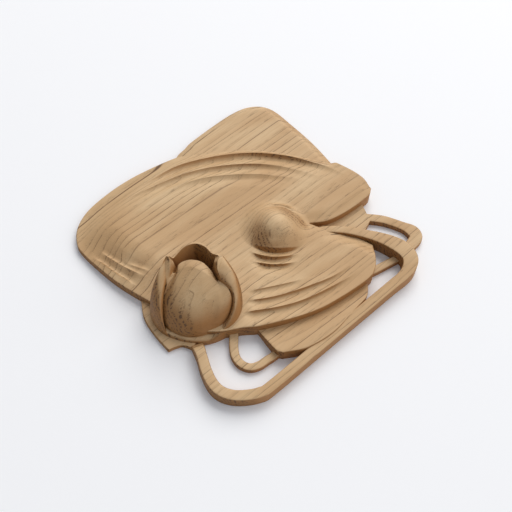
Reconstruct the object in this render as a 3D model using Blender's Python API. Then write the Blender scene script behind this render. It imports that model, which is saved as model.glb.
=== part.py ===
"""A carved oak corner rosette: a shell-shaped pad with a bud, leaves and looping stems, in one piece.

It lies on its flat back. Plan sizes below are millimetres on the square blank, measured from the
corner between the two loops of stem, with X along the grain, and heights are above the back. The
model is in metres, centred on the blank, with the back at Z = 0.
"""

import math

import bmesh
import bpy
import numpy as np
from mathutils import Vector
from mathutils.geometry import delaunay_2d_cdt

MM = 0.001
PLAN_CENTRE = (50.4, 50.0)
BLANK_SIDE = 100.0

# Spacing of the mesh points on the carved tops.
OUTLINE_STEP = 2.6
ROW_STEP = 2.6
FILL_STEP = 3.3
PLAIN_STEP = 5.0
SPAN_SAMPLES = 24
CROWDED_SHARE = 0.62
ROW_CLEARANCE = 0.6
CORNER_SHARE = 0.85
MERGE_DISTANCE = 1e-4

# Each layer is cut straight down, and runs a little below the back before the back is trimmed flat.
UNDERCUT_DEPTH = 1.0
EDGE_ROUND = 0.5
EDGE_DROP = 0.35

# Each outline is a ring of stretches: smooth inside a stretch, with a corner where two meet.
PAD_LEFT_AND_TOP = [(6, 54), (2.6, 68), (1.3, 84), (2.6, 90), (7, 95.2), (14.2, 98.7), (24, 100), (34, 99.8),
                    (44, 98.2), (54.2, 95.8)]
PAD_OVER_LEAF = [(54.2, 95.8), (67, 88), (79.5, 78.4), (89, 66.5), (96, 55.9)]
PAD_RIGHT_TIP = [(96, 55.9), (98.7, 46.6), (99.4, 41), (98.6, 35.6)]
PAD_NOTCH = [(98.6, 35.6), (95, 33.9), (84.8, 34.1), (76.3, 35.7), (69.9, 39.3)]
PAD_BESIDE_STEM = [(69.9, 39.3), (72.5, 33), (76, 28.4), (79.6, 23.3), (81.3, 18)]
PAD_LOWER_TIP = [(81.3, 18), (75.3, 11.4), (71.1, 8.8)]
PAD_LOWER_EDGE = [(71.1, 8.8), (66.8, 8.6), (57, 9.5), (47.3, 11.2), (37.5, 14.8), (27.7, 19.8), (22.8, 23.4),
                  (17, 27), (12.5, 31)]
PAD_UNDER_BUD = [(12.5, 31), (9.5, 42), (6, 54)]
PAD_OUTLINE = [PAD_LEFT_AND_TOP, PAD_OVER_LEAF, PAD_RIGHT_TIP, PAD_NOTCH, PAD_BESIDE_STEM, PAD_LOWER_TIP,
               PAD_LOWER_EDGE, PAD_UNDER_BUD]
BACK_LEAF_OUTLINE = [
    [(50, 88), (54, 96.4), (60, 98.3), (66, 99.4), (85, 100), (94.5, 97.6), (99.4, 91.5), (100, 80),
     (99.2, 63.5), (95, 42), (93, 35.5), (91.6, 32.2), (89.2, 26.7)],
    [(89.2, 26.7), (86, 25.5), (83, 24.5)],
    [(83, 24.5), (77, 29), (69.5, 32.5)],
    [(69.5, 32.5), (62, 60), (50, 88)],
]
LOWER_LEAF_OUTLINE = [
    [(27.4, 24), (27, 19.7), (26.2, 14), (25.9, 10), (26.9, 7.9)],
    [(26.9, 7.9), (32.9, 4.4), (37.8, 3), (42.7, 2.3), (47.9, 2.3), (57.8, 3.7), (63.7, 4.6), (67.2, 7),
     (72, 12)],
    [(72, 12), (50, 16), (27.4, 24)],
]
LEAF_TIP_OUTLINE = [
    [(5, 56), (1.6, 50), (0.3, 43), (0, 35)],
    [(0, 35), (3, 34.2), (5, 33), (6.5, 30)],
    [(6.5, 30), (14, 34), (16, 44), (5, 56)],
]

# The back leaf: a bevel along its free edge, and lower ground where the notch shows it.
BACK_LEAF_TOP = 3.5
BACK_LEAF_NOTCH_TOP = 2.7
BACK_LEAF_RISE_FROM = 40.0
BACK_LEAF_RISE_OVER = 25.0
BACK_LEAF_BEVEL_DROP = 1.8
BACK_LEAF_BEVEL_WIDTH = 3.2

# The lower leaf thickens from its left corner towards the straight stem.
LOWER_LEAF_THIN = 2.4
LOWER_LEAF_THICK = 5.1
LOWER_LEAF_RISE_FROM = 31.0
LOWER_LEAF_RISE_OVER = 18.0
LOWER_LEAF_SKEW = 0.25

LEAF_TIP_TOP = 1.8

# The pad: its rim rises across the blank, from the far corner to the lower tip, around a level middle.
PAD_RIM_LOW = 2.2
PAD_RIM_HIGH = 6.4
PAD_RIM_FROM = 12.0
PAD_RIM_OVER = 70.0
PAD_MIDDLE = 6.6
PAD_RIM_REACH = 16.0
PAD_LEAF_STEP = 0.2
PAD_LEAF_REACH = 4.0
PAD_NOTCH_DROP = 0.9
PAD_NOTCH_REACH = 5.0
PAD_STEM_DROP = 2.3
PAD_STEM_REACH = 6.5
PAD_STEM_GROWTH = 1.4

# Stems: knots of the centre line with the width and the height of the top there.
BIG_STEM = [
    (8.6, 30.4, 4.4, 1.6), (7.5, 28, 4, 4.3), (6.2, 25, 3.6, 4.8), (4, 20.3, 3.7, 4.6),
    (2.5, 15.5, 3.8, 4.6), (2.6, 11.5, 3.8, 4.6), (4.6, 7.8, 3.8, 4.6), (8, 4.8, 3.8, 4.6),
    (12, 2.6, 3.8, 4.6), (16.5, 1.9, 3.8, 4.6), (40, 1.9, 3.8, 4.6), (72, 1.9, 3.8, 4.8), (79, 1.8, 4, 5),
    (83.4, 2.6, 4.8, 5.3), (86.6, 5, 5.8, 5.5), (87.6, 8.6, 6.2, 5.6), (87, 12.6, 6, 5.6),
    (85, 17.6, 4.8, 5.6), (81.8, 23, 3.7, 5.6), (77.4, 29, 3.2, 5.6), (72.3, 33.6, 3, 5.6),
    (66.5, 36.6, 3, 5.2),
]
THIN_STEM = [
    (24, 29, 3.2, 2), (20.6, 25.2, 3.2, 2), (17.3, 21.6, 3.1, 2), (15.3, 18.4, 3, 2), (14.9, 15.2, 2.9, 2),
    (16.2, 12.4, 2.8, 2), (18.8, 11, 2.8, 2), (22, 10.6, 2.8, 2), (30, 10.4, 2.8, 2), (64, 13, 2.9, 2),
    (75.5, 11, 2.9, 2), (81.2, 9.9, 2.9, 2), (87, 8.9, 2.9, 2), (93.2, 9.8, 4.1, 2), (97, 10.8, 4.8, 2.1),
    (98.1, 13.6, 5.2, 2.1), (97, 17.5, 3.8, 2.1), (93.7, 23.9, 3.6, 2.3), (89.6, 28.6, 3.4, 2.5),
    (86, 32.5, 3.4, 2.5),
]
STEM_STEP = 1.9
STEM_EASE = 0.6
STEM_EASE_DROP = 0.42
STEM_DEPTH = 2.0

# Laps: carved rows like overlapping shells. Each entry is the rise of the crest, the width of the drop on
# the right hand side of its line, the reach of the gentle return on both sides, the shares of its length
# over which it grows in and dies away, and the line of the crest.
LAPS = [
    (0.9, 2.0, 3.6, 0.3, 0.3, [(23, 91.8), (30, 93), (39.4, 92.6), (48, 91.8), (55.4, 89.5), (63.8, 85.4),
                               (70.8, 80.9), (77.8, 74.7), (85.1, 65.7), (89.3, 59), (92.6, 53.1),
                               (96.2, 43.4)]),
    (0.8, 2.0, 3.6, 0.3, 0.4, [(17.8, 91.5), (27.4, 91.4), (36, 89.5), (44.5, 87.4), (51.1, 85.3),
                               (58.5, 82.1), (66.8, 76.7), (74.1, 70.6), (79.6, 64.4), (85.2, 56), (89, 48)]),
    (0.6, 2.0, 3.6, 0.35, 0.5, [(31, 85), (43.7, 83), (52.1, 80.2), (59.2, 76.2), (67.9, 69.6), (73.9, 63.8),
                                (79.7, 56.8), (84.1, 49.5)]),
    (0.5, 1.4, 3.6, 0.3, 0.3, [(7.4, 59.4), (6, 63.7), (4.6, 70), (3.6, 76.4), (3, 82)]),
    (0.45, 1.4, 3.6, 0.3, 0.3, [(12, 59.5), (9.6, 65), (8, 70.4), (6.8, 76), (6, 82)]),
    (0.3, 1.4, 3.6, 0.35, 0.35, [(14.2, 60), (11.5, 65.7), (9.4, 70.8)]),
    (0.5, 1.4, 3.6, 0.2, 0.35, [(32.6, 32.6), (37.4, 29.9), (46.3, 25.3), (53, 22.6)]),
    (0.7, 1.4, 3.6, 0.12, 0.4, [(30.1, 30.4), (34.2, 27.3), (39.6, 24.2), (45.3, 21.8), (51.2, 19.6),
                               (59.9, 17.1), (72.1, 16.3)]),
    (0.75, 1.4, 3.6, 0.1, 0.4, [(26.2, 27.6), (30.7, 24.7), (36.8, 20.9), (43.3, 17.9), (49.6, 16),
                                (56.5, 14.6), (64, 13.4), (72, 13.3)]),
    (1.0, 1.2, 3.6, 0.3, 0.4, [(44.6, 44.5), (46.2, 40.2), (48.2, 37.2), (51, 34.8), (55, 32.8),
                                (58.4, 31.9)]),
    (0.85, 1.2, 3.6, 0.3, 0.4, [(42.6, 41), (44.2, 38.2), (46.4, 35.4), (49.2, 33), (52.4, 31),
                                 (55.8, 29.7)]),
    (0.6, 1.0, 2.8, 0.3, 0.35, [(47.2, 45.7), (48.3, 42.8), (49.9, 40.3), (52.1, 38), (54.5, 36),
                                (57.2, 34.7), (59.9, 34)]),
    (0.3, 0.9, 1.6, 0.3, 0.3, [(60, 53.9), (63.1, 53.5), (65.3, 52.2), (67.5, 49.7), (68.4, 46.5),
                               (68.8, 44.4)]),
]

# The round boss beside the notch: steep at the front, easy elsewhere. Each skirt entry is an angle in
# degrees, the reach of the boss there and the power of its cap, low for a steep foot.
BOSS_CENTRE = (57.8, 45.2)
BOSS_RISE = 6.6
BOSS_SKIRT = [(0, 13.6, 2.2), (45, 13.6, 2.2), (90, 14.5, 2.4), (130, 13.8, 2.6), (158, 12.8, 2.3),
              (178, 11.4, 1.5), (194, 10.5, 1.2), (210, 10.1, 1.0), (228, 10.0, 1.0), (246, 10.3, 1.0),
              (263, 11.0, 1.1), (282, 12.1, 1.35), (305, 13.4, 1.9), (330, 14, 2.2), (360, 13.6, 2.2)]
BOSS_RING_SHARES = (0.3, 0.55, 0.75, 0.88, 0.96, 1.0)
BOSS_RING_STEP = 2.6

# The bud: a ball in a leaning cup, on an oval foot. The cup's edge falls to a low collar at the open front.
BUD_FOOT_CENTRE = (17.0, 40.5)
BUD_FOOT_LONG = 15.8
BUD_FOOT_SHORT = 13.0
BUD_LEAN_ANGLE = math.radians(50)
BUD_HOLLOW_FLOOR = 10.0
BUD_HOLLOW_SHARE = 0.75
BUD_LIP_CROWN = 0.3
# Stations round the bud: foot angle in degrees, the cup's edge, then the outer and the inner edge of the
# rim, each as (x, y, z), and for the cup's flank and for the climb from its edge to the rim, the fullness
# and how far the surface has turned over at the end, in degrees.
BUD_STATIONS = [
    (-172, (5.2, 45.3, 5.0), (15.4, 48.9, 16.9), (15.8, 49.4, 16.9), 2.6, 78, 2.1, 64),
    (-160, (4.5, 41.0, 3.4), (16.4, 48.5, 18.0), (17.9, 50.2, 18.3), 2.6, 78, 2.1, 62),
    (-147, (5.7, 36.7, 3.0), (18.5, 47.6, 18.6), (20.1, 49.8, 18.8), 2.6, 78, 2.1, 60),
    (-133, (8.1, 33.3, 3.0), (20.3, 46.1, 18.8), (22.4, 48.3, 19.0), 2.6, 78, 2.1, 60),
    (-121, (11.4, 31.1, 3.0), (22.1, 42.6, 18.4), (24.5, 45.5, 18.4), 2.6, 78, 2.1, 62),
    (-110, (15.1, 29.7, 3.2), (23.3, 39.2, 16.9), (25.0, 41.7, 17.0), 2.6, 78, 2.1, 66),
    (-100, (18.5, 29.0, 5.0), (24.0, 37.9, 16.0), (24.8, 39.5, 16.0), 2.8, 80, 2.2, 70),
    (-89, (21.6, 29.1, 7.4), (24.2, 37.6, 15.8), (24.7, 39.0, 15.6), 3.0, 82, 2.2, 72),
    (-79, (23.7, 30.1, 9.8), (24.4, 37.4, 15.8), (24.75, 38.65, 15.4), 3.2, 84, 2.2, 74),
    (-68, (25.0, 31.3, 12.0), (24.6, 37.3, 15.8), (24.85, 38.45, 15.4), 3.6, 84, 2.2, 76),
    (-58, (25.8, 33.5, 14.0), (24.8, 37.3, 15.9), (25.0, 38.4, 15.5), 3.8, 84, 2.2, 78),
    (-48, (25.3, 35.5, 15.8), (25.0, 37.5, 16.2), (25.15, 38.5, 15.9), 4.0, 82, 2.2, 80),
    (-40, (25.3, 37.4, 17.6), (25.2, 38.1, 17.8), (25.4, 39.1, 17.2), 4.0, 80, 2.0, 80),
    (-30, (26.2, 39.3, 19.4), (25.9, 39.7, 19.6), (26.0, 40.9, 18.6), 4.2, 78, 2.0, 80),
    (-20, (28.5, 40.6, 20.4), (27.4, 41.2, 20.6), (26.9, 42.5, 19.4), 4.2, 76, 2.0, 80),
    (-6, (30.4, 42.3, 20.4), (29.3, 42.8, 20.6), (28.7, 44.1, 19.4), 3.6, 66, 2.0, 80),
    (14, (29.4, 45.7, 19.6), (28.6, 45.6, 19.8), (28.1, 46.0, 19.0), 2.4, 62, 2.0, 80),
    (40, (29.1, 49.8, 19.6), (28.5, 49.3, 19.8), (28.2, 49.4, 19.0), 2.2, 62, 2.0, 80),
    (64, (27.4, 52.9, 19.6), (26.8, 52.3, 19.8), (26.6, 52.2, 19.0), 2.0, 62, 2.0, 80),
    (92, (23.5, 54.5, 19.4), (23.1, 53.7, 19.6), (23.1, 53.2, 18.8), 2.0, 62, 2.0, 80),
    (120, (18.2, 53.7, 18.6), (18.2, 53.1, 18.8), (18.7, 53.0, 18.0), 2.4, 62, 2.0, 80),
    (140, (16.4, 54.2, 20.8), (16.6, 53.5, 21.0), (17.1, 53.3, 20.2), 2.6, 66, 2.0, 80),
    (152, (15.1, 53.7, 20.0), (15.9, 52.4, 20.1), (16.9, 51.3, 18.8), 2.6, 70, 2.0, 80),
    (162, (13.3, 51.5, 18.2), (14.4, 50.5, 18.3), (15.8, 50.4, 17.4), 2.5, 74, 2.0, 80),
    (170, (11.6, 49.2, 16.0), (13.5, 49.3, 16.6), (15.2, 49.9, 16.9), 2.4, 76, 2.0, 80),
    (177, (9.5, 47.8, 12.2), (14.3, 49.0, 16.6), (15.1, 49.6, 16.8), 2.4, 78, 2.1, 76),
    (183, (7.1, 46.7, 8.4), (14.9, 48.9, 16.7), (15.3, 49.35, 16.8), 2.5, 78, 2.1, 70),
]
BUD_COLUMNS_BETWEEN = 3
BUD_FLANK_LEVELS = [0, 16, 30, 44, 58, 70, 80, 90]
BUD_CLIMB_LEVELS = [15, 32, 50, 70, 90]
BUD_LIP_LEVELS = [45, 90, 180]

OAK_COLOUR = (0.55, 0.36, 0.195, 1)
OAK_ROUGHNESS = 0.62
SHARP_ANGLE = math.radians(38)
BLANK_MARGIN = 10.0
BLANK_HEIGHT = 40.0


def catmull_rom(knots, samples):
    """A smooth curve through the knots, with this many samples to a span and the last knot at its end."""
    knots = np.array(knots, dtype=float)
    padded = np.vstack([2 * knots[0] - knots[1], knots, 2 * knots[-1] - knots[-2]])
    t = np.linspace(0, 1, samples, endpoint=False)[:, None]
    spans = []
    for before, start, end, after in zip(padded, padded[1:], padded[2:], padded[3:]):
        spans.append(0.5 * (
            2 * start
            + (end - before) * t
            + (2 * before - 5 * start + 4 * end - after) * t ** 2
            + (3 * start - before - 3 * end + after) * t ** 3
        ))
    return np.vstack(spans + [knots[-1:]])


def smooth_line(knots, step):
    """The curve through the knots at even steps along its plan. Further columns ride along with x and y."""
    dense = catmull_rom(knots, SPAN_SAMPLES)
    lengths = np.concatenate([[0], np.cumsum(np.linalg.norm(np.diff(dense[:, :2], axis=0), axis=1))])
    count = max(2, round(lengths[-1] / step) + 1)
    stations = np.linspace(0, lengths[-1], count)
    return np.column_stack([np.interp(stations, lengths, column) for column in dense.T])


def ring_of(stretches, step):
    """The outline as one closed ring of points, without a repeated end, counter-clockwise."""
    ring = np.vstack([smooth_line(stretch, step)[:-1] for stretch in stretches])
    following = np.roll(ring, -1, axis=0)
    area = np.sum(ring[:, 0] * following[:, 1] - following[:, 0] * ring[:, 1])
    return ring if area > 0 else ring[::-1]


def left_normals(line):
    """The unit normals to the left of an open line, at its points."""
    ahead = np.gradient(line, axis=0)
    return np.column_stack([-ahead[:, 1], ahead[:, 0]]) / np.linalg.norm(ahead, axis=1)[:, None]


def nearest_on(line, points):
    """Distance from each point to the line, its side (positive on the left hand) and its share of the way."""
    start = line[:-1]
    along = line[1:] - start
    length = np.linalg.norm(along, axis=1)
    offset = points[:, None, :] - start[None, :, :]
    share = np.clip(np.sum(offset * along, axis=2) / length ** 2, 0, 1)
    gap = np.linalg.norm(offset - share[:, :, None] * along, axis=2)
    best = np.argmin(gap, axis=1)
    rows = np.arange(len(points))
    cross = along[best, 0] * offset[rows, best, 1] - along[best, 1] * offset[rows, best, 0]
    run = np.concatenate([[0], np.cumsum(length)])
    way = (run[best] + share[rows, best] * length[best]) / run[-1]
    return gap[rows, best], np.where(cross >= 0, 1.0, -1.0), way


def distance_to_ring(ring, points):
    return nearest_on(np.vstack([ring, ring[:1]]), points)[0]


def inside(ring, points):
    """True for each point inside the closed ring, by counting crossings."""
    x, y = points[:, 0, None], points[:, 1, None]
    x0, y0 = ring[:, 0], ring[:, 1]
    x1, y1 = np.roll(x0, -1), np.roll(y0, -1)
    spans = (y0 > y) != (y1 > y)
    rise = np.where(y1 == y0, 1.0, y1 - y0)
    crossing = x0 + (y - y0) / rise * (x1 - x0)
    return np.count_nonzero(spans & (x < crossing), axis=1) % 2 == 1


def smoothstep(value):
    t = np.clip(value, 0, 1)
    return t * t * (3 - 2 * t)


def edge_rounding(ring, points):
    """The drop of the eased edge along an outline."""
    return EDGE_DROP * np.clip(1 - distance_to_ring(ring, points) / EDGE_ROUND, 0, 1)


def lap_height(lap, points):
    """Height that one lap adds: a crest on its line, a drop that eases out to its right, and returns."""
    rise, drop, reach, grow, fade, knots = lap
    distance, side, way = nearest_on(smooth_line(knots, ROW_STEP), points)
    strength = smoothstep(way / grow) * smoothstep((1 - way) / fade)
    across = -distance * side
    behind = np.clip(1 + across / reach, 0, 1)
    cove = 2 * (1 - np.clip(across / drop, 0, 1)) ** 2 - 1
    trough = -np.clip(1 - (across - drop) / reach, 0, 1)
    return rise * strength * np.where(across < 0, behind, np.where(across < drop, cove, trough))


def boss_skirt(angle):
    """Reach and power of the boss at each angle, in radians."""
    degrees, reach, power = np.array(BOSS_SKIRT).T
    turned = np.degrees(angle) % 360
    return np.interp(turned, degrees, reach), np.interp(turned, degrees, power)


def boss_height(points):
    """The boss: a cap over its skirt."""
    offset = points - np.array(BOSS_CENTRE)
    reach, power = boss_skirt(np.arctan2(offset[:, 1], offset[:, 0]))
    share = np.clip(np.linalg.norm(offset, axis=1) / reach, 0, 1)
    return BOSS_RISE * (1 - share ** 2) ** power


def pad_height(points):
    """The pad's top: its rim and middle, lowered where it meets the leaf, the notch and the stem, with
    its laps and boss."""
    ring = ring_of(PAD_OUTLINE, OUTLINE_STEP)
    edge = distance_to_ring(ring, points)
    across = (points[:, 0] + BLANK_SIDE - points[:, 1]) / math.sqrt(2)
    rim = PAD_RIM_LOW + (PAD_RIM_HIGH - PAD_RIM_LOW) * np.clip((across - PAD_RIM_FROM) / PAD_RIM_OVER, 0, 1)
    base = rim + (PAD_MIDDLE - rim) * smoothstep(edge / PAD_RIM_REACH)
    notch, _, _ = nearest_on(smooth_line(PAD_NOTCH, OUTLINE_STEP), points)
    stem, _, along_stem = nearest_on(smooth_line(PAD_BESIDE_STEM, OUTLINE_STEP), points)
    base -= PAD_NOTCH_DROP * smoothstep(1 - notch / PAD_NOTCH_REACH)
    base -= PAD_STEM_DROP * smoothstep(1 - stem / PAD_STEM_REACH) * smoothstep(PAD_STEM_GROWTH * along_stem)
    base += sum(lap_height(lap, points) for lap in LAPS) + boss_height(points)
    leaf, _, _ = nearest_on(smooth_line(PAD_OVER_LEAF, OUTLINE_STEP), points)
    level = BACK_LEAF_TOP + PAD_LEAF_STEP
    base = level + (base - level) * smoothstep(leaf / PAD_LEAF_REACH)
    return base - edge_rounding(ring, points) * (leaf > EDGE_ROUND)


def back_leaf_height(points):
    ring = ring_of(BACK_LEAF_OUTLINE, OUTLINE_STEP)
    rise = smoothstep((points[:, 1] - BACK_LEAF_RISE_FROM) / BACK_LEAF_RISE_OVER)
    bevel = np.clip(1 - distance_to_ring(ring, points) / BACK_LEAF_BEVEL_WIDTH, 0, 1)
    top = BACK_LEAF_NOTCH_TOP + (BACK_LEAF_TOP - BACK_LEAF_NOTCH_TOP) * rise
    return top - BACK_LEAF_BEVEL_DROP * bevel * rise


def lower_leaf_height(points):
    near = LOWER_LEAF_RISE_FROM - points[:, 1] - LOWER_LEAF_SKEW * points[:, 0]
    rise = smoothstep(near / LOWER_LEAF_RISE_OVER)
    ring = ring_of(LOWER_LEAF_OUTLINE, OUTLINE_STEP)
    return LOWER_LEAF_THIN + (LOWER_LEAF_THICK - LOWER_LEAF_THIN) * rise - edge_rounding(ring, points)


def leaf_tip_height(points):
    return LEAF_TIP_TOP - edge_rounding(ring_of(LEAF_TIP_OUTLINE, OUTLINE_STEP), points)


def inset_row(ring, distance):
    """The ring moved inwards, without the points that would crowd a corner."""
    ahead = np.roll(ring, -1, axis=0) - np.roll(ring, 1, axis=0)
    normal = np.column_stack([-ahead[:, 1], ahead[:, 0]]) / np.linalg.norm(ahead, axis=1)[:, None]
    moved = ring + distance * normal
    return moved[(distance_to_ring(ring, moved) > CORNER_SHARE * distance) & inside(ring, moved)]


def fill_points(ring, taken, step):
    """A staggered field of points inside the ring, clear of the points already taken."""
    low, high = ring.min(axis=0), ring.max(axis=0)
    row_gap = step * math.sqrt(3) / 2
    columns, rows = np.ceil((high - low) / (step, row_gap))
    column, row = np.meshgrid(np.arange(columns), np.arange(rows))
    x = low[0] + (column + row % 2 / 2) * step
    y = low[1] + row * row_gap
    field = np.column_stack([x.ravel(), y.ravel()])
    field = field[inside(ring, field)]
    gap = np.min(np.linalg.norm(field[:, None, :] - taken[None, :, :], axis=2), axis=1)
    return field[gap > CROWDED_SHARE * step]


def lap_rows():
    """The crest and the foot of each lap's drop, as rows of points."""
    rows = []
    for _, drop, _, _, _, knots in LAPS:
        line = smooth_line(knots, ROW_STEP)
        rows += [line, line - drop * left_normals(line)]
    return rows


def boss_rows():
    """Rings of points round the boss, closer together at its steep foot."""
    widest = max(reach for _, reach, _ in BOSS_SKIRT)
    rows = []
    for share in BOSS_RING_SHARES:
        count = round(2 * math.pi * share * widest / BOSS_RING_STEP)
        angle = np.linspace(0, 2 * math.pi, count, endpoint=False)
        reach, _ = boss_skirt(angle)
        direction = np.column_stack([np.cos(angle), np.sin(angle)])
        rows.append(np.array(BOSS_CENTRE) + share * reach[:, None] * direction)
    return rows


def to_metres(points, heights):
    plan = (np.asarray(points) - np.array(PLAN_CENTRE)) * MM
    return [Vector((x, y, z * MM)) for (x, y), z in zip(plan, heights)]


def new_object(name, mesh, collection, material):
    mesh.materials.append(material)
    mesh.shade_smooth()
    mesh.set_sharp_from_angle(angle=SHARP_ANGLE)
    made = bpy.data.objects.new(name, mesh)
    collection.objects.link(made)
    return made


def mesh_object(name, corners, faces, collection, material):
    mesh = bpy.data.meshes.new(name)
    mesh.from_pydata(corners, [], faces)
    shape = bmesh.new()
    shape.from_mesh(mesh)
    bmesh.ops.recalc_face_normals(shape, faces=shape.faces)
    shape.to_mesh(mesh)
    shape.free()
    return new_object(name, mesh, collection, material)


def grid_faces(rows, columns):
    """Quads between neighbouring rows, each of which is a closed ring of columns, and a cap at each end."""
    faces = [tuple(range(columns)), tuple((rows - 1) * columns + column for column in range(columns))]
    for row in range(rows - 1):
        for column in range(columns):
            a = row * columns + column
            b = row * columns + (column + 1) % columns
            faces.append((a, b, b + columns, a + columns))
    return faces


def relief_body(name, outline, height, rows, fill_step, collection, material):
    """A layer of the carving: its outline cut straight down, with its top at the height function."""
    ring = ring_of(outline, OUTLINE_STEP)
    edges = [(index, (index + 1) % len(ring)) for index in range(len(ring))]
    points = ring
    for row in rows:
        usable = inside(ring, row) & (distance_to_ring(ring, row) > ROW_CLEARANCE)
        number = len(points) + np.cumsum(usable) - 1
        joined = np.flatnonzero(usable[:-1] & usable[1:])
        edges += [(int(number[i]), int(number[i + 1])) for i in joined]
        points = np.vstack([points, row[usable]])
    points = np.vstack([points, inset_row(ring, EDGE_ROUND)])
    points = np.vstack([points, fill_points(ring, points, fill_step)])
    plan, _, faces, *_ = delaunay_2d_cdt([Vector(point) for point in points], edges, [], 1, MERGE_DISTANCE)
    plan = np.array([tuple(point) for point in plan])
    count = len(plan)
    corners = to_metres(plan, height(plan)) + to_metres(plan, np.full(count, -UNDERCUT_DEPTH))
    sides = {(a, b) for face in faces for a, b in zip(face, face[1:] + face[:1])}
    walls = [(b, a, count + a, count + b) for a, b in sides if (b, a) not in sides]
    tops = [tuple(face) for face in faces]
    floor = [tuple(count + corner for corner in reversed(face)) for face in tops]
    return mesh_object(name, corners, tops + floor + sorted(walls), collection, material)


def stem_body(name, knots, collection, material):
    """A stem: a flat-topped strip with eased edges, carried along its centre line."""
    line = smooth_line(knots, STEM_STEP)
    path, width, top = line[:, :2], line[:, 2], line[:, 3]
    normal = left_normals(path)
    below = np.full(len(path), -STEM_DEPTH)
    eased = top - STEM_EASE_DROP
    section = [(-0.5, 0, below), (-0.5, 0, eased), (-0.5, STEM_EASE, top),
               (0.5, -STEM_EASE, top), (0.5, 0, eased), (0.5, 0, below)]
    rails = [to_metres(path + (side * width + shift)[:, None] * normal, z) for side, shift, z in section]
    corners = [rail[station] for station in range(len(path)) for rail in rails]
    return mesh_object(name, corners, grid_faces(len(path), len(section)), collection, material)


def bud_columns(between):
    """The bud's stations and the columns between them, as one closed run with a row for each column."""
    knots = np.array([[angle, *edge, *outer, *inner, *bends] for angle, edge, outer, inner, *bends in
                      BUD_STATIONS], dtype=float)
    turn = np.zeros(knots.shape[1])
    turn[0] = 360
    around = np.vstack([knots[-2:] - turn, knots, knots[:3] + turn])
    return catmull_rom(around, between)[2 * between:(2 + len(knots)) * between]


def bent_rings(start, end, full, turn, levels):
    """Rings along a quarter of a superellipse, from start up to end, each with a height in its last column."""
    rings = []
    for degrees in levels:
        theta = turn * degrees / levels[-1]
        rise = (np.sin(theta) / np.sin(turn)) ** (2 / full)
        inward = (1 - np.cos(theta) ** (2 / full)) / (1 - np.cos(turn) ** (2 / full))
        share = np.column_stack([inward, inward, rise])
        rings.append(start + share * (end - start))
    return rings


def bud_rings():
    """The bud's rings: up the cup's flank, on to the rim, over its lip and down to the hollow's floor."""
    columns = bud_columns(BUD_COLUMNS_BETWEEN)
    angle = np.radians(columns[:, 0])
    edge, outer, inner = columns[:, 1:4], columns[:, 4:7], columns[:, 7:10]
    cup_full, cup_turn = columns[:, 10], np.radians(columns[:, 11])
    climb_full, climb_turn = columns[:, 12], np.radians(columns[:, 13])
    turned = angle - BUD_LEAN_ANGLE
    oval = 1 / np.hypot(np.cos(turned) / BUD_FOOT_SHORT, np.sin(turned) / BUD_FOOT_LONG)
    foot_x = BUD_FOOT_CENTRE[0] + oval * np.cos(angle)
    foot_y = BUD_FOOT_CENTRE[1] + oval * np.sin(angle)
    foot = np.column_stack([foot_x, foot_y, np.zeros(len(angle))])
    rings = [foot - (0, 0, STEM_DEPTH)]
    rings += bent_rings(foot, edge, cup_full, cup_turn, BUD_FLANK_LEVELS)
    rings += bent_rings(edge, outer, climb_full, climb_turn, BUD_CLIMB_LEVELS)
    for over in np.radians(BUD_LIP_LEVELS):
        share = (1 - math.cos(over)) / 2
        crown = BUD_LIP_CROWN * math.sin(over) * (1 - share)
        rings.append(outer + share * (inner - outer) + (0, 0, crown))
    middle = inner.mean(axis=0)
    well = middle + BUD_HOLLOW_SHARE * (inner - middle)
    well[:, 2] = BUD_HOLLOW_FLOOR
    return rings + [well]


def bud_body(name, collection, material):
    rings = bud_rings()
    corners = [corner for ring in rings for corner in to_metres(ring[:, :2], ring[:, 2])]
    return mesh_object(name, corners, grid_faces(len(rings), len(rings[0])), collection, material)


def blank_body(name, collection, material):
    """The blank from the back up: what it shares with the layers is what is left of them."""
    half = (max(PLAN_CENTRE) + BLANK_MARGIN) * MM
    shape = bmesh.new()
    bmesh.ops.create_cube(shape, size=1.0)
    bmesh.ops.translate(shape, verts=shape.verts, vec=(0, 0, 0.5))
    bmesh.ops.scale(shape, verts=shape.verts, vec=(2 * half, 2 * half, BLANK_HEIGHT * MM))
    mesh = bpy.data.meshes.new(name)
    shape.to_mesh(mesh)
    shape.free()
    return new_object(name, mesh, collection, material)


def oak_material():
    material = bpy.data.materials.new("oak")
    material.use_nodes = True
    shader = material.node_tree.nodes["Principled BSDF"]
    shader.inputs["Base Color"].default_value = OAK_COLOUR
    shader.inputs["Roughness"].default_value = OAK_ROUGHNESS
    shader.inputs["Metallic"].default_value = 0.0
    return material


def new_collection(name, hidden):
    collection = bpy.data.collections.new(name)
    collection.hide_render = hidden
    bpy.context.scene.collection.children.link(collection)
    return collection


def add_boolean(body, layer, operation):
    """Joins the layer to the body, or trims the body by it, and keeps the layer out of renders."""
    layer.hide_render = True
    layer.display_type = "WIRE"
    boolean = body.modifiers.new(layer.name, "BOOLEAN")
    boolean.operation = operation
    boolean.solver = "EXACT"
    boolean.object = layer


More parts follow.
